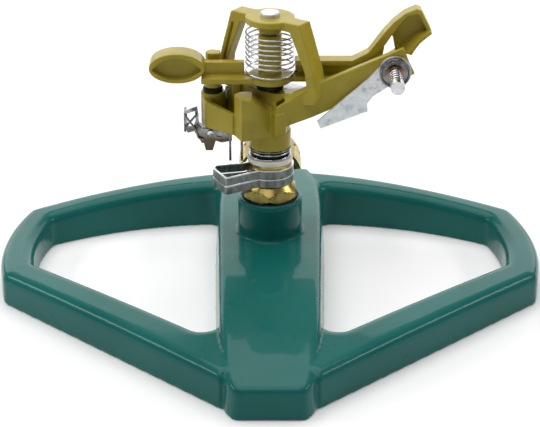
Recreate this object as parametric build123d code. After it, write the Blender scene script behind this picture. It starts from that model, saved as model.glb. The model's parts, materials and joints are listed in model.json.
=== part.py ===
from build123d import *
import os
from math import cos, pi, radians, sin, tan

# Impact lawn sprinkler on a cast sled base.
# Millimetres, +Z up, ground at z = 0, +X is the throw direction, +Y is the hose side.

os.makedirs("parts", exist_ok=True)

# ---------------------------------------------------------------- driving sizes
RISER_Y = 11.0          # riser axis, behind the middle of the footprint
BASE_HALF_W = 119.0     # half width of the sled at its bulged sides
SPINE_FRONT = -120.0    # front tip of the spine, from the riser axis
SPINE_REAR = 72.0       # rear face of the spine, from the riser axis
SPINE_TOP = 24.0        # height of the spine at the riser
RIM_TOP = 14.8          # height of the front arms
INLET_Z = 15.6          # height of the hose inlet axis
PASSAGE_R = 6.0         # water passage bore
BOSS_R = 14.0           # riser boss
BOSS_TOP = 41.0
HEX_AF = 22.0           # bearing sleeve hexagon across flats
SLEEVE_R = 9.4          # bearing sleeve barrel carrying the two collars
SLEEVE_BORE = 7.0
FIT = 0.05              # radial clearance of every turning fit
COLLAR_T = 0.8          # collar strip thickness
COLLAR_H = 3.7          # collar strip height
HEAD_Z = 64.4           # underside of the turning head
BRIDGE_YAW = -35.0      # bridge plane, turned about the riser
BRIDGE_W = 8.0          # bridge width across its plane
ARM_Z0 = 94.6           # underside of the drive arm
ARM_Z1 = 104.2          # top of the drive arm
PADDLE_X, PADDLE_Z = -39.1, 101.6   # middle of the counterweight paddle
PIN_R = 2.5             # fulcrum pin
SPRING_R = 10.1         # arm spring, centre line radius
SPRING_WIRE = 0.42      # arm spring, wire radius
BARREL_Y = -9.2         # barrel centre line, beside the arm
BARREL_Z = 82.3         # barrel centre line height above the riser axis
BARREL_TILT = 23.8      # barrel elevation, degrees
POST_X, POST_Y = -24.5, 6.8   # reversing post axis
EAR_X, EAR_Z = 51.7, 103.4    # deflector screw axis
PLATE_Y = -14.4         # outer face of the barrel side plate


# ---------------------------------------------------------------- helpers
def face_of(points):
    return make_face(Polyline(*points, close=True))


def prism(points, z0, z1):
    """Upright prism from plan points."""
    return Pos(0, 0, z0) * extrude(face_of(points), amount=z1 - z0)


def side_prism(points, y0, y1):
    """Prism from (x, z) points, running along Y."""
    plane = Plane(origin=(0, y1, 0), x_dir=(1, 0, 0), z_dir=(0, -1, 0))
    return extrude(plane * face_of(points), amount=y1 - y0)


def tube(r_out, r_in, z0, z1, x=0.0, y=0.0):
    body = Pos(x, y, (z0 + z1) / 2) * Cylinder(r_out, z1 - z0)
    if r_in > 0:
        body -= Pos(x, y, (z0 + z1) / 2) * Cylinder(r_in, z1 - z0 + 1)
    return body


def tube_y(r_out, r_in, y0, y1, x, z):
    lie = Pos(x, (y0 + y1) / 2, z) * Rot(90, 0, 0)
    body = lie * Cylinder(r_out, y1 - y0)
    if r_in > 0:
        body -= lie * Cylinder(r_in, y1 - y0 + 1)
    return body


def box(x0, x1, y0, y1, z0, z1):
    return Pos((x0 + x1) / 2, (y0 + y1) / 2, (z0 + z1) / 2) * Box(x1 - x0, y1 - y0, z1 - z0)


def wire_rod(points, r):
    """Round wire along a polyline with rounded knees."""
    path = Polyline(*points)
    if len(points) > 2:
        path = FilletPolyline(*points, radius=3 * r)
    start = Plane(origin=path @ 0, z_dir=path % 0)
    return sweep(start * Circle(r), path=path)


def coil(radius, wire, z0, pitch, turns, x=0.0, y=0.0, left=False):
    """Round wire helix about a vertical axis."""
    path = Helix(pitch=pitch, height=pitch * turns, radius=radius, lefthand=left)
    start = Plane(origin=path @ 0, z_dir=path % 0)
    return Pos(x, y, z0) * sweep(start * Circle(wire), path=path, is_frenet=True)


def mirrored(points):
    """Right-hand outline from front to rear, closed with its mirror image."""
    return list(points) + [(-x, y) for x, y in reversed(points)]


parts = {}

# ---------------------------------------------------------------- sled base
front, corner_f, corner_r = (19.4, -111.5), (115.2, -25.0), (111.5, 42.0)
rim_edge = [
    Polyline((-front[0], front[1]), (-8.0, -104.0), (8.0, -104.0), front),
    Line(front, corner_f),
    ThreePointArc(corner_f, (BASE_HALF_W, 2.0), corner_r),
    ThreePointArc(corner_r, (0, 71.0), (-corner_r[0], corner_r[1])),
    ThreePointArc((-corner_r[0], corner_r[1]), (-BASE_HALF_W, 2.0), (-corner_f[0], corner_f[1])),
    Line((-corner_f[0], corner_f[1]), (-front[0], front[1])),
]
rim_face = make_face(rim_edge)
rim_face = fillet(rim_face.vertices().filter_by(lambda v: abs(v.X) > 100), 6.0)


def window(side):
    a, b, c, d = (21.2, -83.5), (102.0, -14.5), (100.0, 32.0), (23.6, 54.5)
    pts = [(side * x, y) for x, y in (a, b, c, d)]
    mid = (side * 62.0, 48.5)
    shape = make_face([
        Line(pts[0], pts[1]),
        ThreePointArc(pts[1], (side * 104.5, 9.0), pts[2]),
        ThreePointArc(pts[2], mid, pts[3]),
        Line(pts[3], pts[0]),
    ])
    return fillet(shape.vertices(), 6.0)


windows = [window(side) for side in (1, -1)]


def roof_wire(y, points):
    """Closed section under the rim's top surface at one station."""
    plane = Plane(origin=(0, y, 0), x_dir=(1, 0, 0), z_dir=(0, -1, 0))
    top = Spline(*points)
    low = Polyline(points[-1], (points[-1][0], -1), (points[0][0], -1), points[0])
    return plane * make_face([top, low])


HW = BASE_HALF_W + 8
roof = loft([
    roof_wire(-140, [(-HW, RIM_TOP), (-60, RIM_TOP), (0, RIM_TOP), (60, RIM_TOP), (HW, RIM_TOP)]),
    roof_wire(80, [(-HW, 13.6), (-60, 19.4), (0, 22.4), (60, 19.4), (HW, 13.6)]),
])
rim = extrude(rim_face, amount=40) & roof
for face in windows:
    rim -= Pos(0, 0, -1) * extrude(face, amount=60)


def level(edge):
    """True for an edge running roughly level, high on the casting."""
    return edge.center().Z > 10 and abs((edge % 0.5).Z) < 0.5


rim = fillet(rim.edges().filter_by(level), 4.6)

spine_plan = mirrored([
    (13.8, SPINE_FRONT), (16.8, -116.0), (18.6, -111.0), (20.2, -98.0), (21.7, -78.0), (22.7, -54.0),
    (23.6, -25.0), (24.6, 8.0), (25.0, 30.0), (24.4, 52.0), (21.5, 62.0), (20.0, SPINE_REAR),
])
spine = extrude(face_of(spine_plan), amount=SPINE_TOP + 8, taper=4)
spine_side = [
    (SPINE_FRONT - 5, 12.6), (SPINE_FRONT + 2, 13.6), (-85, 19.4), (-45, 23.0),
    (-5, SPINE_TOP), (40, SPINE_TOP), (SPINE_REAR + 5, SPINE_TOP - 1.5),
]
side_plane = Plane(origin=(-40, 0, 0), x_dir=(0, 1, 0), z_dir=(1, 0, 0))
side_face = make_face([
    Spline(*spine_side),
    Polyline(spine_side[-1], (SPINE_REAR + 5, -1), (SPINE_FRONT - 5, -1), spine_side[0]),
])
spine &= extrude(side_plane * side_face, amount=80)
nose = spine.edges().filter_by(lambda e: abs((e % 0.5).Z) > 0.9 and e.center().Y < -115)
spine = fillet(nose, 4.0)
spine = fillet(spine.edges().filter_by(level), 3.0)

base = rim + spine

# hollow underside, leaving a wall all round
WALL = 4.0
cavity = extrude(offset(rim_face, amount=-WALL), amount=9.6)
for face in windows:
    cavity -= Pos(0, 0, -1) * extrude(offset(face, amount=WALL), amount=20)
spine_cavity = prism(mirrored([
    (9.8, SPINE_FRONT + 5), (14.0, -110.0), (17.2, -84.0), (18.6, -50.0), (20.4, 10.0),
    (19.8, 52.0), (16.0, SPINE_REAR - 5),
]), 0, 8.6)
base -= cavity + spine_cavity
base += tube_y(PASSAGE_R + 3.4, 0, -14.0, SPINE_REAR, 0, INLET_Z)
base += tube(BOSS_R - 1.0, 0, 6.0, SPINE_TOP)

boss = fillet((tube(BOSS_R, 0, SPINE_TOP - 3, BOSS_TOP)).edges().group_by(Axis.Z)[-1], 1.5)
base += boss
# water passage: rear inlet to riser, then up through the boss
base -= tube_y(PASSAGE_R, 0, 0, SPINE_REAR + 1, 0, INLET_Z)
base -= tube(9.2, 0, 9.0, 28.0)
base -= tube(10.25, 0, 27.9, 40.0)
base -= tube(12.05, 0, 39.6, BOSS_TOP + 1)
parts["base_casting"] = base

parts["seal_ring"] = tube(12.0, 10.4, 39.6, 41.2)

hex_body = Pos(0, 0, 41.2) * extrude(
    Rot(0, 0, 90) * RegularPolygon(HEX_AF / 2, 6, major_radius=False), amount=7.2)
cone = Pos(0, 0, 44.8) * Cone(HEX_AF / 2 + 4.0, HEX_AF / 2 - 1.9, 7.2)
foot = Pos(0, 0, 44.8) * Cone(HEX_AF / 2 + 0.1, HEX_AF / 2 + 7.3, 7.2)
sleeve = (hex_body & cone & foot) + tube(10.2, 0, 28.0, 41.2) + tube(SLEEVE_R, 0, 48.4, 57.8)
sleeve -= tube(SLEEVE_BORE, 0, 20, 60)
parts["bearing_sleeve"] = sleeve

tail = tube_y(PASSAGE_R, 0, 62.0, SPINE_REAR, 0, INLET_Z)
tail += tube_y(10.5, 0, SPINE_REAR, SPINE_REAR + 2.6, 0, INLET_Z)
tail += tube_y(8.5, 0, SPINE_REAR + 2.6, SPINE_REAR + 9, 0, INLET_Z)
tail += tube_y(11.5, 0, SPINE_REAR + 7.0, SPINE_REAR + 9, 0, INLET_Z)
tail -= tube_y(4.6, 0, 60, 90, 0, INLET_Z)
parts["inlet_tailpiece"] = tail

# ---------------------------------------------------------------- hose coupling
NUT_Y0, NUT_Y1, NUT_R = SPINE_REAR + 3.4, 98.0, 15.2
THREAD_R, THREAD_Y0 = 13.2, SPINE_REAR + 12.6
nut = tube_y(NUT_R, 0, NUT_Y0 + 1.4, NUT_Y1, 0, INLET_Z)
nut += tube_y(NUT_R - 1.2, 0, NUT_Y0, NUT_Y0 + 1.4, 0, INLET_Z)
RIBS = 20
for i in range(RIBS):
    a = 2 * pi * i / RIBS
    nut -= tube_y(0.9, 0, NUT_Y0 + 3.2, NUT_Y1 - 3.0,
                  (NUT_R + 0.35) * cos(a), INLET_Z + (NUT_R + 0.35) * sin(a))
nut -= tube_y(8.5 + FIT, 0, NUT_Y0 - 1, NUT_Y0 + 4, 0, INLET_Z)
nut -= tube_y(11.5 + FIT, 0, SPINE_REAR + 6.9, SPINE_REAR + 9.2, 0, INLET_Z)
nut -= tube_y(12.2, 0, SPINE_REAR + 9.1, SPINE_REAR + 12.0, 0, INLET_Z)
nut -= tube_y(13.8, 0, SPINE_REAR + 11.8, THREAD_Y0, 0, INLET_Z)
nut -= tube_y(THREAD_R, 0, THREAD_Y0 - 0.1, NUT_Y1 + 1, 0, INLET_Z)
parts["hose_nut"] = nut
parts["hose_washer"] = tube_y(12.2, 8.0, SPINE_REAR + 9.1, SPINE_REAR + 11.6, 0, INLET_Z)

# ---------------------------------------------------------------- stop collars
def collar(z0):
    """Spring strip round the sleeve with a squared hairpin tab."""
    r_in = SLEEVE_R + FIT
    r_out = r_in + COLLAR_T
    tab = [(-4.6, -8.75), (-18.6, -17.0), (-24.2, -6.4), (-23.4, -3.6), (-11.0, -0.9), (-8.0, 2.8)]
    line = FilletPolyline(*tab, radius=1.2)
    strip = trace(line, line_width=COLLAR_T)
    ring = Circle(r_out)
    inside = make_face(FilletPolyline(*tab, radius=1.2, close=True))
    plan = ring + strip
    plan -= Circle(r_in)
    plan -= (inside - Circle(r_out + 0.05)) - strip
    mouth = make_face(Polyline((-6.4, -7.0), (-14.0, -8.0), (-14.0, -2.0), (-8.8, -0.2), close=True))
    plan -= mouth & Circle(r_out + 0.6)
    return Pos(0, 0, z0) * extrude(plan, amount=COLLAR_H)


parts["lower_collar"] = collar(48.5)
parts["upper_collar"] = collar(52.6)

# ---------------------------------------------------------------- bearing stack
parts["thrust_washer"] = tube(9.8, 6.95 + FIT, 57.8, 60.0)
parts["dust_seal"] = tube(8.0, 6.95, 60.1, 63.7)
parts["bearing_washer"] = tube(9.2, 6.95, 63.7, HEAD_Z)
parts["bearing_spring"] = coil(8.6, 0.4, 60.6, 1.35, 2.0)
flow = tube(6.95, 0, 25.8, 70.0) + tube(8.4, 0, 23.4, 27.9)
parts["flow_tube"] = flow - tube(5.2, 0, 20, 80)

# ---------------------------------------------------------------- head casting
yaw = Rot(0, 0, BRIDGE_YAW)
bridge_side = [
    (17.4, 122.8), (24.4, 103.0), (26.2, 92.0), (24.6, 89.2), (14.0, 87.2), (4.0, 83.6),
    (-4.0, 83.6), (-14.0, 87.2), (-23.4, 89.2), (-25.0, 92.0), (-23.1, 103.0), (-17.4, 122.8),
]
bridge_hole = [
    (12.6, 118.9), (20.2, 102.6), (21.6, 93.4), (18.0, 93.2), (6.0, 90.4),
    (-6.0, 90.4), (-17.0, 93.2), (-20.4, 93.4), (-18.9, 102.6), (-12.6, 118.9),
]
bridge = side_prism(bridge_side, -BRIDGE_W / 2, BRIDGE_W / 2)
bridge -= side_prism(bridge_hole, -BRIDGE_W, BRIDGE_W)
groove = [(-17.0, 118.0), (-21.0, 103.4), (-22.6, 95.0), (-21.4, 95.0), (-19.9, 103.4), (-15.8, 118.0)]
bridge -= side_prism(groove, -BRIDGE_W / 2 - 1, -BRIDGE_W / 2 + 1.5)
bridge -= side_prism([(-12.0, 118.2), (-30.0, 118.2), (-30.0, 94.0), (-12.0, 94.0)], 1.6, BRIDGE_W)
head = yaw * bridge
head += tube(10.4, 0, 120.2, 122.8) + tube(4.9, 0, 115.9, 120.4)
head += tube(3.9, 0, 80.0, 90.7)
head += tube(8.6, 0, 70.0, 82.4) + tube(9.0, 0, HEAD_Z, 72.0)
head += Pos(0, 0, 83.5) * Cone(8.6, 4.6, 2.2)

# front-left housing with a sloping top
housing = prism([(1.0, -8.5), (-12.0, -15.6), (-15.2, -7.8), (-9.0, -2.0), (0, 0), (5.0, -6.0)], 72.0, 92.0)
slope = side_prism([(-20, 91.2), (-12.0, 91.0), (-7.6, 89.6), (1.0, 81.6), (8, 81.2), (8, 95), (-20, 95)], -20, 5)
head += housing - slope

# curved wall and rear rib carrying the reversing post
band = FilletPolyline((-27.6, 8.0), (-27.2, 1.0), (-15.0, -8.0), radius=5.0)
wall = Pos(0, 0, 72.4) * extrude(trace(band, line_width=2.4), amount=12.6)
head += wall - side_prism([(-30, 85.0), (-27.0, 84.8), (-15.0, 81.8), (-10, 81.0), (-10, 95), (-30, 95)], -12, 12)
head += prism([(-26.0, 7.0), (-25.0, 10.0), (-4.0, 6.0), (-4.0, 2.5), (-14.0, 4.0)], 72.4, 78.0)
head += tube(5.2, 0, 72.4, 86.8, POST_X, POST_Y)
head += box(-16.4, -12.4, 2.2, 4.8, 76.0, 93.2)
head += prism([(-19.2, 5.0), (-19.2, 7.0), (-3.0, 6.6), (-3.0, 4.6)], 77.0, 89.0)

# barrel with its side plate
tilt = radians(BARREL_TILT)


def on_barrel(s, lift=0.0):
    """(x, z) at distance s along the barrel and lift above its centre line."""
    return (s * cos(tilt) - lift * sin(tilt), BARREL_Z + s * sin(tilt) + lift * cos(tilt))


def barrel_rod(r, s0, s1):
    x, z = on_barrel((s0 + s1) / 2)
    return Pos(x, BARREL_Y, z) * Rot(0, 90 - BARREL_TILT, 0) * Cylinder(r, s1 - s0)


BARREL_END = 63.0
plate_line = [(2.9, 87.2), on_barrel(22, 6.2), on_barrel(BARREL_END, 6.4),
              on_barrel(BARREL_END, -6.0), on_barrel(16, -6.6), (4.0, 77.6)]
head += side_prism(plate_line, PLATE_Y, PLATE_Y + 2.4)
head += barrel_rod(5.2, 8.6, BARREL_END - 4)
root = prism([(0, -3), (9.6, -4.2), (16.0, -5.0), (16.0, -14.0), (6.0, -14.0), (2.0, -8.6)], 76.0, 86.0)
head += root & side_prism([(-1, 77.0), (6.0, 78.3), (17.0, 82.6), (17.0, 87.0), (-1, 87.0)], -15, 0)
knee = prism([(0.4, -3.0), (0.4, -8.8), (2.4, -14.9), (6.6, -14.9), (7.2, -12.0), (7.2, -3.0)], 71.0, 86.0)
head += knee & side_prism([(0, 72.0), (2.4, 74.0), (8.0, 75.6), (8.0, 84.6), (2.4, 84.0), (0, 81.8)], -15, 0)
head -= barrel_rod(3.7, 4.0, BARREL_END)
head -= tube(6.95, 0, HEAD_Z - 1, 70.0)
head -= tube(5.2, 0, 69.9, 79.0)
head -= Pos(3.0, -4.6, 78.5) * Rot(0, 0, 0) * Cylinder(4.0, 6.0)
head -= tube(PIN_R, 0, 84.0, 130)
head -= tube(2.0 + FIT, 0, 70.0, 90.0, POST_X, POST_Y)
head -= barrel_rod(4.8, BARREL_END - 4, BARREL_END + 3)
head -= tube_y(1.5, 0, PLATE_Y - 1, PLATE_Y + 1.0, EAR_X, EAR_Z)
parts["head_body"] = head

nozzle = barrel_rod(3.7, BARREL_END - 14, BARREL_END - 4) + barrel_rod(4.8, BARREL_END - 4, BARREL_END - 1)
parts["nozzle_insert"] = nozzle - barrel_rod(2.1, BARREL_END - 20, BARREL_END + 2)

pin = tube(PIN_R, 0, 84.0, 122.8) + tube(4.1, 0, 122.8, 124.6)
parts["fulcrum_pin"] = fillet(pin.edges().group_by(Axis.Z)[-1], 0.7)
parts["hub_washer"] = tube(5.8, PIN_R, 90.7, 93.2)
parts["post_ring"] = tube(4.3, 2.0 + FIT, 86.8, 88.8, POST_X, POST_Y)
parts["anchor_pin"] = wire_rod([(-18.6, 3.4, 77.9), (-18.6, 3.4, 88.6), (-16.9, 3.4, 89.4)], 0.6)
parts["stop_plate"] = yaw * box(-3.0, 12.0, BRIDGE_W / 2, 11.0, 89.4, 90.4)

# ---------------------------------------------------------------- deflector hardware
Y_EAR = PLATE_Y - 1.3
parts["deflector_screw"] = (
    tube_y(1.5, 0, PLATE_Y - 17.0, PLATE_Y + 1.0, EAR_X, EAR_Z)
    + tube_y(2.9, 0, PLATE_Y - 19.6, PLATE_Y - 14.8, EAR_X, EAR_Z))
cup = tube_y(6.4, 1.5, Y_EAR - 0.8, Y_EAR, EAR_X, EAR_Z)
cup += tube_y(6.4, 5.5, Y_EAR - 1.6, Y_EAR - 0.8, EAR_X, EAR_Z)
parts["deflector_washer"] = cup
parts["friction_ring"] = tube_y(3.4, 1.5, Y_EAR - 2.2, Y_EAR - 0.8, EAR_X, EAR_Z)
spring_turns = Rot(90, 0, 0) * coil(2.2, 0.5, 0, 2.5, 4.0)
parts["deflector_spring"] = Pos(EAR_X, Y_EAR - 2.8, EAR_Z) * spring_turns

# ---------------------------------------------------------------- deflector flap
flap_plane = Plane(origin=(0, PLATE_Y - 0.1, 0), x_dir=(1, 0, 0), z_dir=(0, -1, 0))
ear = Pos(0, 0, 0) * (flap_plane * (Pos(EAR_X, EAR_Z) * Circle(6.8)))
ear_body = extrude(ear, amount=1.1)
neck = [(EAR_X - 3.4, EAR_Z + 5.9), (41.4, 101.4), (42.6, 92.6), (49.4, 97.4), (EAR_X + 3.0, EAR_Z - 6.1)]
ear_body += extrude(flap_plane * face_of(neck), amount=1.1)
blade = [(41.4, 101.4), (19.4, 82.6), (20.8, 79.4), (40.6, 86.2), (40.4, 89.8), (42.6, 92.6)]
blade_body = extrude(flap_plane * face_of(blade), amount=1.1)
bend = Pos(42.0, PLATE_Y - 0.1, 97.0) * Rot(0, 0, 7) * Pos(-42.0, -PLATE_Y + 0.1, -97.0)
flap = ear_body + bend * blade_body
flap -= tube_y(1.5 + FIT, 0, PLATE_Y - 4, PLATE_Y + 1, EAR_X, EAR_Z)
parts["deflector_flap"] = flap

# ---------------------------------------------------------------- drive arm
arm = box(-29.0, 0, -1.8, 2.0, ARM_Z0, ARM_Z1 - 1.4) + box(-29.0, 0, -6.6, 2.0, ARM_Z0, ARM_Z0 + 2.4)
arm += box(0, 34.5, 0.6, 3.4, ARM_Z0, ARM_Z1 - 0.4)
arm += box(0, 34.5, -3.4, 3.4, ARM_Z1 - 2.4, ARM_Z1 - 0.2) + box(0, 30.0, -3.4, 3.4, ARM_Z0, ARM_Z0 + 2.2)
arm -= tube(11.0, 0, 97.3, 120.0)
arm += tube(9.3, 0, 94.3, 97.2) + tube(4.95, 0, 97.0, 115.0)
arm += box(17.4, 20.4, -8.2, 1.0, 98.2, 102.6)
paddle = Pos(PADDLE_X, 3.4, PADDLE_Z) * Rot(90, 0, 0) * extrude(Ellipse(11.7, 6.5), amount=10.4)
lens = make_face([ThreePointArc((-10.4, -0.6), (0, 4.4), (10.4, -0.6)),
                  ThreePointArc((10.4, -0.6), (0, -5.2), (-10.4, -0.6))])
dish = Pos(PADDLE_X, -3.8, PADDLE_Z) * Rot(90, 0, 0) * extrude(lens, amount=6)
arm += paddle - dish
arm += box(20.6, 34.0, 0.4, 3.4, 98.0, ARM_Z1 - 0.4)
# rising end: top ribbon, web and lower vane
rib_top = [(33.0, 104.0), (34.6, 104.0), (41.3, 107.6), (47.3, 116.0), (51.5, 120.9), (56.0, 124.6),
           (60.9, 126.8), (62.8, 126.0)]
rib_low = [(61.6, 124.6), (57.0, 123.6), (53.6, 119.6), (50.6, 114.8), (48.2, 111.0), (44.0, 106.6),
           (36.0, 102.4), (33.0, 101.8)]
arm += side_prism(rib_top + rib_low, -3.4, 3.4)
web = [(33.0, 103.0), (41.3, 107.0), (47.3, 115.4), (49.0, 114.0), (47.4, 104.0), (46.4, 99.4), (33.0, 96.4)]
arm += side_prism(web, 0.8, 3.4)
cup_web = [(51.5, 120.5), (56.0, 124.0), (60.9, 126.4), (62.8, 126.0), (66.8, 117.2), (63.0, 115.6),
           (58.0, 112.6), (54.0, 107.0), (52.6, 108.0), (51.6, 113.0), (50.0, 116.0)]
arm += side_prism(cup_web, 1.2, 3.4)
arm += side_prism([(61.2, 125.6), (62.8, 126.2), (67.6, 116.6), (66.2, 115.8)], -3.4, 3.4)


def vane_face(y, top, low):
    plane = Plane(origin=(0, y, 0), x_dir=(1, 0, 0), z_dir=(0, -1, 0))
    return plane * face_of(top + low)


# the driving vane sweeps forward and down from the cup's back wall
arm += loft([
    vane_face(3.4, [(52.0, 106.8), (56.0, 111.4), (58.6, 113.8), (62.6, 116.2), (66.6, 117.6)],
              [(67.2, 116.2), (63.4, 114.8), (59.6, 112.6), (57.0, 110.2), (53.4, 105.8)]),
    vane_face(-5.4, [(58.2, 107.8), (60.0, 110.9), (61.6, 113.2), (63.8, 115.4), (66.6, 117.7)],
              [(67.6, 116.7), (64.8, 114.3), (62.6, 112.2), (61.0, 109.9), (59.4, 107.1)]),
], ruled=True)
arm += side_prism([(46.6, 99.6), (47.6, 104.0), (54.4, 108.6), (56.6, 108.4), (53.6, 104.0)], 0.8, 3.4)
arm -= tube(3.6, 0, 90, 120)
parts["drive_arm"] = arm
parts["arm_bush"] = tube(3.6, PIN_R + FIT, 93.3, 115.0)

turns = 8.6
spring = coil(SPRING_R, SPRING_WIRE, 98.2, 2.2, turns, left=True)
parts["arm_spring"] = spring

# ---------------------------------------------------------------- reversing mechanism
post = tube(2.0, 0, 70.4, 90.0, POST_X, POST_Y) + tube(3.7, 0, 89.0, 94.0, POST_X, POST_Y)
post += tube(3.0, 0, 94.0, 104.6, POST_X, POST_Y)
post += box(POST_X - 2.0, POST_X + 3.4, POST_Y - 2.6, POST_Y + 2.2, 101.0, 104.6)
parts["reversing_post"] = post

bracket = box(-32.4, -17.8, 1.4, 11.0, 69.3, 70.3)
bracket += side_prism([(-30.8, 76.0), (-30.0, 72.6), (-28.9, 71.6), (-24.2, 71.2), (-18.6, 69.6), (-16.4, 68.4),
                       (-16.4, 65.8), (-21.0, 65.0), (-23.1, 65.8), (-28.7, 66.4), (-31.4, 70.4)], 1.0, 2.0)
bracket += side_prism([(-29.1, 70.3), (-23.1, 66.9), (-24.7, 61.4), (-27.7, 61.4), (-28.9, 66.1)], 1.0, 2.0)
wing = side_prism([(-36.7, 79.6), (-31.2, 81.6), (-30.5, 77.3), (-31.2, 73.5), (-30.4, 70.0), (-28.5, 64.9),
                   (-29.4, 64.7), (-32.3, 70.3), (-35.4, 69.6), (-36.8, 72.6)], 1.0, 2.0)
wing -= side_prism([(-35.6, 78.4), (-32.2, 79.6), (-31.9, 75.4), (-33.0, 72.2), (-35.3, 72.6)], 0, 3)
bracket += wing + box(-37.0, -36.0, 1.2, 8.0, 70.0, 78.8)
bracket -= side_prism([(-23.6, 69.0), (-20.2, 68.4), (-20.8, 67.4), (-23.0, 67.8)], 0, 1.5)
parts["trip_bracket"] = bracket
parts["trip_rivet"] = tube_y(1.3, 0, 0.0, 1.0, -25.6, 69.6)
wires = wire_rod([(-17.2, 0.4, 70.8), (-17.2, 0.4, 57.0)], 0.55)
wires += wire_rod([(-18.6, 0.4, 70.8), (-12.2, 0.4, 70.8), (-12.2, 0.4, 57.0)], 0.55)
parts["trip_wire"] = wires
parts["trip_spring"] = wire_rod(
    [(-36.4, 0.3, 78.0), (-32.0, 0.3, 71.6), (-30.8, 0.3, 67.4), (-28.6, 0.3, 66.8)], 0.45)
parts["trip_spring"] += wire_rod([(-36.4, 0.3, 72.4), (-31.4, 0.3, 78.4)], 0.45)

# ---------------------------------------------------------------- export
for name, body in parts.items():
    export_step(Pos(0, RISER_Y, 0) * body, f"parts/{name}.step")
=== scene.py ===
import json
import math
import bpy
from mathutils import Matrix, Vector


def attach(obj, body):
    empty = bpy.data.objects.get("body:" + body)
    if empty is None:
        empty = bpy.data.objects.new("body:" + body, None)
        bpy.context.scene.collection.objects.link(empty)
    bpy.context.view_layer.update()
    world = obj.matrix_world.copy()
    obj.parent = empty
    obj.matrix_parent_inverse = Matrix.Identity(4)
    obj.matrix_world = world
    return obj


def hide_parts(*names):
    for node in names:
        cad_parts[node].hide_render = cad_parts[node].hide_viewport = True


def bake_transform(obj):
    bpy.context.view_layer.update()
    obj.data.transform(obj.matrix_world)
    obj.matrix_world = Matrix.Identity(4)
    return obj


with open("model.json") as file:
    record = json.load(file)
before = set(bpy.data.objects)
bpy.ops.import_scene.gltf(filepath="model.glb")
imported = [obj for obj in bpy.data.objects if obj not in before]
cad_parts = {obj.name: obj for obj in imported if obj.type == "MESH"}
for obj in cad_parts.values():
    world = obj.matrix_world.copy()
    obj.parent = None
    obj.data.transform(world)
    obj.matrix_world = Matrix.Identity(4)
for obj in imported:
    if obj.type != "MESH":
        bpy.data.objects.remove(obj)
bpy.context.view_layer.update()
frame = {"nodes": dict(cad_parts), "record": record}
NODES = frame["nodes"]
RISER_Y = 0.011                    # the riser's axis, behind the frame's middle
COLLAR_FOOT = 0.0485               # lower edge of the lower collar
COLLAR_PITCH = 0.0041              # from one collar's lower edge to the next
TONGUE_HEIGHTS = (0.0665, 0.0690)  # where the trip bracket's brown lower tongue fades to plate


# ------------------------------------------------------------------ materials
class Shader:
    """A Principled material with small helpers for procedural detail."""

    def __init__(self, name, color, rough, metal=0.0, **sockets):
        self.mat = bpy.data.materials.new(name)
        self.mat.use_nodes = True
        self.tree = self.mat.node_tree
        self.bsdf = self.tree.nodes["Principled BSDF"]
        self.set(**{"Base Color": (*color, 1), "Roughness": rough, "Metallic": metal})
        self.set(**sockets)
        self.coord = self.tree.nodes.new("ShaderNodeTexCoord").outputs["Object"]
        self.bumps = None

    def set(self, **sockets):
        for key, value in sockets.items():
            self.bsdf.inputs[key.replace("_", " ")].default_value = value

    def node(self, kind, **settings):
        n = self.tree.nodes.new(kind)
        for key, value in settings.items():
            if hasattr(n, key):
                setattr(n, key, value)
            else:
                n.inputs[key.replace("_", " ")].default_value = value
        return n

    def link(self, a, b):
        self.tree.links.new(a, b)

    def scaled(self, sx, sy, sz):
        m = self.node("ShaderNodeMapping", Scale=(sx, sy, sz))
        self.link(self.coord, m.inputs["Vector"])
        return m.outputs["Vector"]

    def noise(self, scale, detail=2.0, vector=None):
        n = self.node("ShaderNodeTexNoise", Scale=scale, Detail=detail)
        self.link(vector or self.coord, n.inputs["Vector"])
        return n.outputs["Fac"]

    def ramp(self, fac, stops):
        r = self.node("ShaderNodeValToRGB")
        e = r.color_ramp.elements
        while len(e) < len(stops):
            e.new(0.5)
        for item, (pos, col) in zip(e, stops):
            item.position = pos
            item.color = (*col, 1)
        self.link(fac, r.inputs["Fac"])
        return r.outputs["Color"]

    def grey(self, fac, lo, hi, a=0.3, b=0.7):
        m = self.node("ShaderNodeMapRange")
        m.inputs["From Min"].default_value, m.inputs["From Max"].default_value = a, b
        m.inputs["To Min"].default_value, m.inputs["To Max"].default_value = lo, hi
        self.link(fac, m.inputs["Value"])
        return m.outputs["Result"]

    def z_of(self, vector):
        axes = self.node("ShaderNodeSeparateXYZ")
        self.link(vector, axes.inputs[0])
        return axes.outputs["Z"]

    def calc(self, operation, first, second, third=None):
        """Maths node; a number is set on its socket and an output is linked to it."""
        n = self.node("ShaderNodeMath", operation=operation)
        for socket, value in zip(n.inputs, (first, second, third)):
            if isinstance(value, float):
                socket.default_value = value
            elif value is not None:
                self.link(value, socket)
        return n.outputs[0]

    def mix(self, fac, a, b):
        """Colour mix from a to b, where b may be a plain colour."""
        n = self.node("ShaderNodeMix", data_type="RGBA")
        self.link(fac, n.inputs["Factor"])
        self.link(a, n.inputs["A"])
        if isinstance(b, tuple):
            n.inputs["B"].default_value = (*b, 1)
        else:
            self.link(b, n.inputs["B"])
        return n.outputs["Result"]

    def base_color(self, color):
        self.link(color, self.bsdf.inputs["Base Color"])

    def color_from(self, fac, stops):
        self.base_color(self.ramp(fac, stops))

    def rough_from(self, fac, lo, hi, a=0.3, b=0.7):
        self.link(self.grey(fac, lo, hi, a, b), self.bsdf.inputs["Roughness"])

    def bump(self, fac, strength, distance):
        b = self.node("ShaderNodeBump", Strength=strength, Distance=distance)
        self.link(fac, b.inputs["Height"])
        if self.bumps:
            self.link(self.bumps, b.inputs["Normal"])
        self.bumps = b.outputs["Normal"]
        self.link(self.bumps, self.bsdf.inputs["Normal"])
        return self


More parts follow.
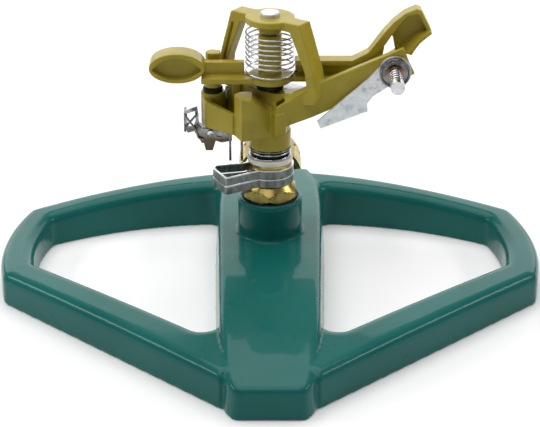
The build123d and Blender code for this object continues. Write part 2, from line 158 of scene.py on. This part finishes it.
def green_enamel():
    s = Shader("green_enamel", (0.008, 0.118, 0.100), 0.3, Specular_IOR_Level=0.08,
               Coat_Weight=0.55, Coat_Roughness=0.06, Coat_IOR=1.28)
    s.color_from(s.noise(22, 3), [(0.3, (0.006, 0.110, 0.096)), (0.7, (0.010, 0.134, 0.118))])
    s.rough_from(s.noise(60, 3), 0.24, 0.38)
    s.bump(s.noise(95, 2), 0.10, 0.0005).bump(s.noise(520, 2), 0.05, 0.00012)
    return s.mat


def olive_enamel():
    s = Shader("olive_enamel", (0.40, 0.33, 0.04), 0.36, Specular_IOR_Level=0.12,
               Coat_Weight=0.42, Coat_Roughness=0.14, Coat_IOR=1.28)
    warm = s.ramp(s.noise(140, 4), [(0.3, (0.38, 0.275, 0.022)), (0.7, (0.46, 0.35, 0.036))])
    cool = s.ramp(s.noise(90, 4), [(0.3, (0.30, 0.255, 0.028)), (0.7, (0.40, 0.34, 0.044))])
    s.base_color(s.mix(s.noise(38, 3), warm, cool))
    s.rough_from(s.noise(220, 3), 0.30, 0.44)
    s.bump(s.noise(420, 3), 0.12, 0.0002).bump(s.noise(1500, 2), 0.06, 0.00006)
    return s.mat


def brass():
    s = Shader("brass_turned", (0.52, 0.38, 0.11), 0.26, 1.0)
    s.color_from(s.noise(160, 3), [(0.3, (0.42, 0.30, 0.085)), (0.7, (0.60, 0.46, 0.15))])
    s.rough_from(s.noise(300, 3), 0.24, 0.40)
    s.bump(s.noise(900, 2, s.scaled(0.2, 0.2, 3.0)), 0.12, 0.00006)
    return s.mat


def copper():
    s = Shader("copper_ring", (0.36, 0.18, 0.09), 0.3, 1.0)
    s.color_from(s.noise(400, 2), [(0.3, (0.24, 0.12, 0.06)), (0.7, (0.46, 0.25, 0.12))])
    s.rough_from(s.noise(500, 2), 0.22, 0.42)
    return s.mat


def steel():
    s = Shader("steel_strip", (0.50, 0.50, 0.48), 0.34, 1.0)
    grain = s.noise(700, 3, s.scaled(1, 1, 0.25))
    s.color_from(grain, [(0.3, (0.24, 0.25, 0.24)), (0.7, (0.42, 0.43, 0.42))])
    s.rough_from(s.noise(300, 4), 0.24, 0.46)
    s.bump(grain, 0.16, 0.00005)
    return s.mat


def collar_steel():
    """Spring strip whose upper edges carry a painted highlight band."""
    s = Shader("collar_strip", (0.34, 0.35, 0.34), 0.34, 1.0)
    grain = s.noise(700, 3, s.scaled(1, 1, 0.25))
    face = s.ramp(grain, [(0.3, (0.16, 0.17, 0.16)), (0.7, (0.31, 0.32, 0.31))])
    # painted highlight: a near-white band along the top of each collar's pitch
    above_foot = s.calc("SUBTRACT", s.z_of(s.coord), COLLAR_FOOT)
    step = s.calc("MODULO", above_foot, COLLAR_PITCH)
    edge = s.grey(step, 0.0, 1.0, 0.0031, 0.0036)
    s.base_color(s.mix(edge, face, (0.92, 0.93, 0.94)))
    s.rough_from(s.noise(300, 4), 0.24, 0.46)
    s.bump(grain, 0.16, 0.00005)
    return s.mat


def dark_steel():
    s = Shader("dished_washer", (0.20, 0.20, 0.20), 0.28, 1.0)
    s.color_from(s.noise(350, 3), [(0.3, (0.13, 0.13, 0.135)), (0.7, (0.30, 0.30, 0.30))])
    s.rough_from(s.noise(500, 2), 0.20, 0.36)
    return s.mat


def trip_steel():
    """Plated strip with uneven shine, brown and darker towards its lower tongue."""
    s = Shader("trip_strip", (0.22, 0.22, 0.21), 0.2, 1.0)
    plate = s.ramp(s.noise(230, 3), [(0.36, (0.07, 0.07, 0.07)), (0.64, (0.36, 0.36, 0.35))])
    # brown and darker towards the bottom, below the tongue heights
    tongue_brown = s.grey(s.z_of(s.coord), 1.0, 0.0, *TONGUE_HEIGHTS)
    s.base_color(s.mix(tongue_brown, plate, (0.105, 0.085, 0.052)))
    s.rough_from(s.noise(500, 2), 0.12, 0.26)
    return s.mat


def bright_steel():
    s = Shader("bright_steel", (0.64, 0.65, 0.67), 0.2, 1.0)
    s.color_from(s.noise(500, 2), [(0.3, (0.54, 0.55, 0.57)), (0.7, (0.74, 0.75, 0.77))])
    s.rough_from(s.noise(800, 3), 0.14, 0.30)
    return s.mat


def galvanised():
    """Zinc sheet: pale spangles above, painted shade where a face looks down."""
    s = Shader("galvanised_sheet", (0.78, 0.82, 0.84), 0.42, 0.6)
    spangle = s.node("ShaderNodeTexVoronoi", Scale=620)
    s.link(s.coord, spangle.inputs["Vector"])
    red = s.node("ShaderNodeSeparateColor")
    s.link(spangle.outputs["Color"], red.inputs["Color"])
    fleck = s.calc("MULTIPLY", red.outputs[0], 0.2)
    mottle = s.calc("MULTIPLY_ADD", s.noise(240, 5), 0.8, fleck)
    sheet = s.ramp(mottle, [(0.22, (0.36, 0.36, 0.36)), (0.44, (0.72, 0.76, 0.78)),
                            (0.75, (0.92, 0.96, 0.98))])
    # painted shade: faces whose normal points downward are darkened towards near-black
    normal = s.tree.nodes["Texture Coordinate"].outputs["Normal"]
    painted_underside_shade = s.grey(s.z_of(normal), 1.0, 0.0, -0.45, -0.15)
    s.base_color(s.mix(painted_underside_shade, sheet, (0.10, 0.10, 0.11)))
    s.rough_from(mottle, 0.32, 0.55, 0.2, 0.8)
    s.bump(s.noise(350, 3), 0.10, 0.0001)
    return s.mat


def rubber():
    s = Shader("black_rubber", (0.006, 0.006, 0.007), 0.5, Specular_IOR_Level=0.2)
    s.color_from(s.noise(300, 2), [(0.3, (0.004, 0.004, 0.005)), (0.7, (0.012, 0.012, 0.013))])
    s.rough_from(s.noise(600, 3), 0.38, 0.6)
    return s.mat


def nylon():
    s = Shader("white_nylon", (0.84, 0.81, 0.73), 0.42)
    s.color_from(s.noise(250, 2), [(0.3, (0.80, 0.77, 0.68)), (0.7, (0.88, 0.86, 0.79))])
    s.rough_from(s.noise(500, 2), 0.34, 0.5)
    return s.mat


def floor_material():
    s = Shader("studio_floor", (0.86, 0.86, 0.86), 0.7, Specular_IOR_Level=0.1,
               Emission_Color=(1, 1, 1, 1), Emission_Strength=0.14)
    s.color_from(s.noise(6, 2), [(0.3, (0.85, 0.85, 0.85)), (0.7, (0.88, 0.88, 0.88))])
    return s.mat


FINISH = {
    "green_enamel": green_enamel(), "olive_enamel": olive_enamel(),
    "brass": brass(), "copper": copper(), "steel": steel(),
    "bright_steel": bright_steel(), "galvanised": galvanised(),
    "black_rubber": rubber(), "white_nylon": nylon(), "dark_steel": dark_steel(),
    "collar_steel": collar_steel(), "trip_steel": trip_steel(),
}
SLOT_OF = {p["node"]: p["material_slot"] for p in frame["record"]["subparts"]}


def paint(obj, slot):
    obj.data.materials.clear()
    obj.data.materials.append(FINISH[slot])


# ------------------------------------------------------------------ CAD nodes
SMOOTHING = 0.5
BEVEL_ANGLE = math.radians(32.0)
WELD_DISTANCE = 1e-6


def cast(obj, voxel, rounds):
    """Softens a casting's edges the way poured metal and enamel do."""
    remesh = obj.modifiers.new("cast", "REMESH")
    remesh.mode, remesh.voxel_size, remesh.use_smooth_shade = "VOXEL", voxel, True
    soft = obj.modifiers.new("soft", "SMOOTH")
    soft.factor, soft.iterations = SMOOTHING, rounds


def machined(obj, width):
    """Breaks a machined or stamped part's edges with a small bevel."""
    weld = obj.modifiers.new("join", "WELD")
    weld.merge_threshold = WELD_DISTANCE
    bevel = obj.modifiers.new("edge", "BEVEL")
    bevel.width, bevel.segments = width, 2
    bevel.limit_method, bevel.angle_limit = "ANGLE", BEVEL_ANGLE
    bevel.harden_normals = False
    shade = obj.modifiers.new("shade", "WEIGHTED_NORMAL")
    shade.keep_sharp = True
    obj.data.shade_smooth()


# Nodes whose look in the photograph differs from their slot's usual finish.
OWN_FINISH = {
    "dark_steel": ("deflector_washer", "bearing_washer", "trip_wire", "trip_spring",
                   "anchor_pin"),
    "trip_steel": ("trip_bracket",),
    "collar_steel": ("lower_collar", "upper_collar"),
    "galvanised": ("fulcrum_pin",),
}
for name, obj in NODES.items():
    paint(obj, SLOT_OF[name])
for finish, names in OWN_FINISH.items():
    for name in names:
        paint(NODES[name], finish)

# Voxel size in metres and rounds of smoothing.
CASTINGS = {"base_casting": (0.0006, 9), "head_body": (0.00032, 5),
            "drive_arm": (0.00032, 5), "reversing_post": (0.00030, 4)}
for name, (voxel, rounds) in CASTINGS.items():
    cast(NODES[name], voxel, rounds)

# Bevel width in metres.
MACHINED = {
    "bearing_sleeve": 0.0003, "hose_nut": 0.0004, "inlet_tailpiece": 0.0002,
    "lower_collar": 0.0003, "upper_collar": 0.0003, "thrust_washer": 0.0004,
    "bearing_washer": 0.0002, "seal_ring": 0.0006, "hub_washer": 0.0006,
    "post_ring": 0.0005, "deflector_screw": 0.0004, "deflector_washer": 0.00025,
    "deflector_flap": 0.0002, "trip_bracket": 0.0002, "stop_plate": 0.0002,
    "nozzle_insert": 0.0002, "trip_rivet": 0.0003, "hose_washer": 0.0003,
}
for name, width in MACHINED.items():
    machined(NODES[name], width)


# ------------------------------------------------------------------ own pieces
ARM_COIL_R, ARM_WIRE_R = 10.05, 0.00040          # millimetres, metres
BEARING_COIL_R, BEARING_WIRE_R = 8.7, 0.00034
WIRE_SIDES = 10
COIL_STEP = 10                                   # degrees between a coil's points


def tube_along(name, points, radius, sides=WIRE_SIDES):
    """Round wire swept along points with a steady frame and closed ends."""
    pts = [Vector(p) for p in points]
    up = Vector((0, 0, 1))
    rings = []
    for i, p in enumerate(pts):
        t = (pts[min(i + 1, len(pts) - 1)] - pts[max(i - 1, 0)]).normalized()
        if abs(t.dot(up)) > 0.95:
            up = t.orthogonal().normalized()
        side = t.cross(up).normalized()
        up = side.cross(t).normalized()
        rings.append([p + (side * math.cos(a) + up * math.sin(a)) * radius
                      for a in (2 * math.pi * k / sides for k in range(sides))])
    verts = [v for r in rings for v in r]
    faces = [(i * sides + k, i * sides + (k + 1) % sides,
              (i + 1) * sides + (k + 1) % sides, (i + 1) * sides + k)
             for i in range(len(rings) - 1) for k in range(sides)]
    faces += [tuple(reversed(range(sides))), tuple(range(len(verts) - sides, len(verts)))]
    mesh = bpy.data.meshes.new(name)
    mesh.from_pydata([tuple(v) for v in verts], [], faces)
    mesh.validate()
    mesh.shade_smooth()
    obj = bpy.data.objects.new(name, mesh)
    bpy.context.scene.collection.objects.link(obj)
    return obj


def at(x, y, z):
    """Riser-axis millimetres to frame metres."""
    return Vector((x / 1000, y / 1000 + RISER_Y, z / 1000))


def height_at(deg, knots):
    """Height between the two knots, each (degrees, mm), that a turn lies between."""
    for (a0, z0), (a1, z1) in zip(knots, knots[1:]):
        if a0 <= deg <= a1:
            return z0 + (z1 - z0) * (deg - a0) / (a1 - a0)


def on_coil(radius, deg, z):
    a = math.radians(deg)
    return at(radius * math.cos(a), radius * math.sin(a), z)


def arm_spring_path():
    """Left-handed open coil: a seated bottom turn, even turns, then a hook under the bridge."""
    knots = [(0, 97.9), (90, 98.2), (180, 98.9), (360, 101.2), (450, 102.2)]
    knots += [(450 + 360 * turn, z) for turn, z in
              enumerate((104.2, 106.4, 108.6, 110.7, 112.9, 115.1), start=1)]
    knots.append((knots[-1][0] + 240, 116.7))
    path = [at(11.6, 1.0, 98.0)]
    path += [on_coil(ARM_COIL_R, -deg, height_at(deg, knots))
             for deg in range(0, knots[-1][0] + 1, COIL_STEP)]
    return path + [at(7.2, 1.2, 117.2), at(6.6, -3.4, 117.5), at(8.6, -6.2, 117.6),
                   at(12.0, -7.2, 117.6)]


def bearing_spring_path():
    """Flat seated turn below, one steep half turn at the back, flat seated turn above."""
    return [on_coil(BEARING_COIL_R, deg, 60.55 + 2.15 * min(max((deg - 10) / 180, 0.0), 1.0))
            for deg in range(-250, 451, COIL_STEP)]


spring = tube_along("arm_spring_coil", arm_spring_path(), ARM_WIRE_R)
paint(spring, "bright_steel")
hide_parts("arm_spring")
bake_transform(spring)

bearing = tube_along("bearing_spring_wire", bearing_spring_path(), BEARING_WIRE_R)
paint(bearing, "bright_steel")
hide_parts("bearing_spring")
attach(bearing, "head")


# ------------------------------------------------------------------ stage
FLOOR_HALF = 4.0
FLOOR_Z = -0.0002                                # just under the base's feet
WORLD_STRENGTH = 0.10

mesh = bpy.data.meshes.new("studio_floor")
mesh.from_pydata([(-FLOOR_HALF, -FLOOR_HALF, FLOOR_Z), (FLOOR_HALF, -FLOOR_HALF, FLOOR_Z),
                  (FLOOR_HALF, FLOOR_HALF, FLOOR_Z), (-FLOOR_HALF, FLOOR_HALF, FLOOR_Z)],
                 [], [(0, 1, 2, 3)])
floor = bpy.data.objects.new("studio_floor", mesh)
bpy.context.scene.collection.objects.link(floor)
floor.data.materials.append(floor_material())

world = bpy.data.worlds.new("studio")
bpy.context.scene.world = world
world.use_nodes = True
background = world.node_tree.nodes["Background"]
background.inputs["Color"].default_value = (1, 1, 1, 1)
background.inputs["Strength"].default_value = WORLD_STRENGTH


def softbox(name, place, target, size, watts):
    """Rectangular area light at place, turned to target."""
    light = bpy.data.lights.new(name, "AREA")
    light.shape, light.size, light.size_y, light.energy = "RECTANGLE", size[0], size[1], watts
    obj = bpy.data.objects.new(name, light)
    obj.location = place
    obj.rotation_euler = (Vector(target) - Vector(place)).to_track_quat("-Z", "Y").to_euler()
    bpy.context.scene.collection.objects.link(obj)


softbox("overhead", (-0.10, 0.05, 1.1), (0, 0.0, 0.0), (1.5, 1.1), 13.2)
softbox("rear_panel", (0.0, 1.25, 0.45), (0, 0, 0.05), (2.2, 0.7), 8.0)
softbox("left_strip", (-0.95, 0.0, 0.60), (0, 0, 0.04), (0.5, 0.15), 2.6)
softbox("right_strip", (0.95, 0.0, 0.60), (0, 0, 0.04), (0.5, 0.15), 2.2)

# ------------------------------------------------------------------ camera
AIM = Vector((0, RISER_Y, 0.050))
RANGE, RISE = 0.750, math.radians(24.0)
DROP = math.radians(1.27)                        # extra tilt, so the view centres below AIM
LENS = 114.95

cam = bpy.data.cameras.new("camera")
cam.sensor_width, cam.lens = 36.0, LENS
cam.clip_start, cam.clip_end = 0.01, 20
cam_obj = bpy.data.objects.new("camera", cam)
cam_obj.location = AIM + Vector((0, -math.cos(RISE), math.sin(RISE))) * RANGE
cam_obj.rotation_euler = (math.pi / 2 - RISE - DROP, 0, 0)
bpy.context.scene.collection.objects.link(cam_obj)
bpy.context.scene.camera = cam_obj
bpy.context.scene.view_settings.view_transform = "Standard"
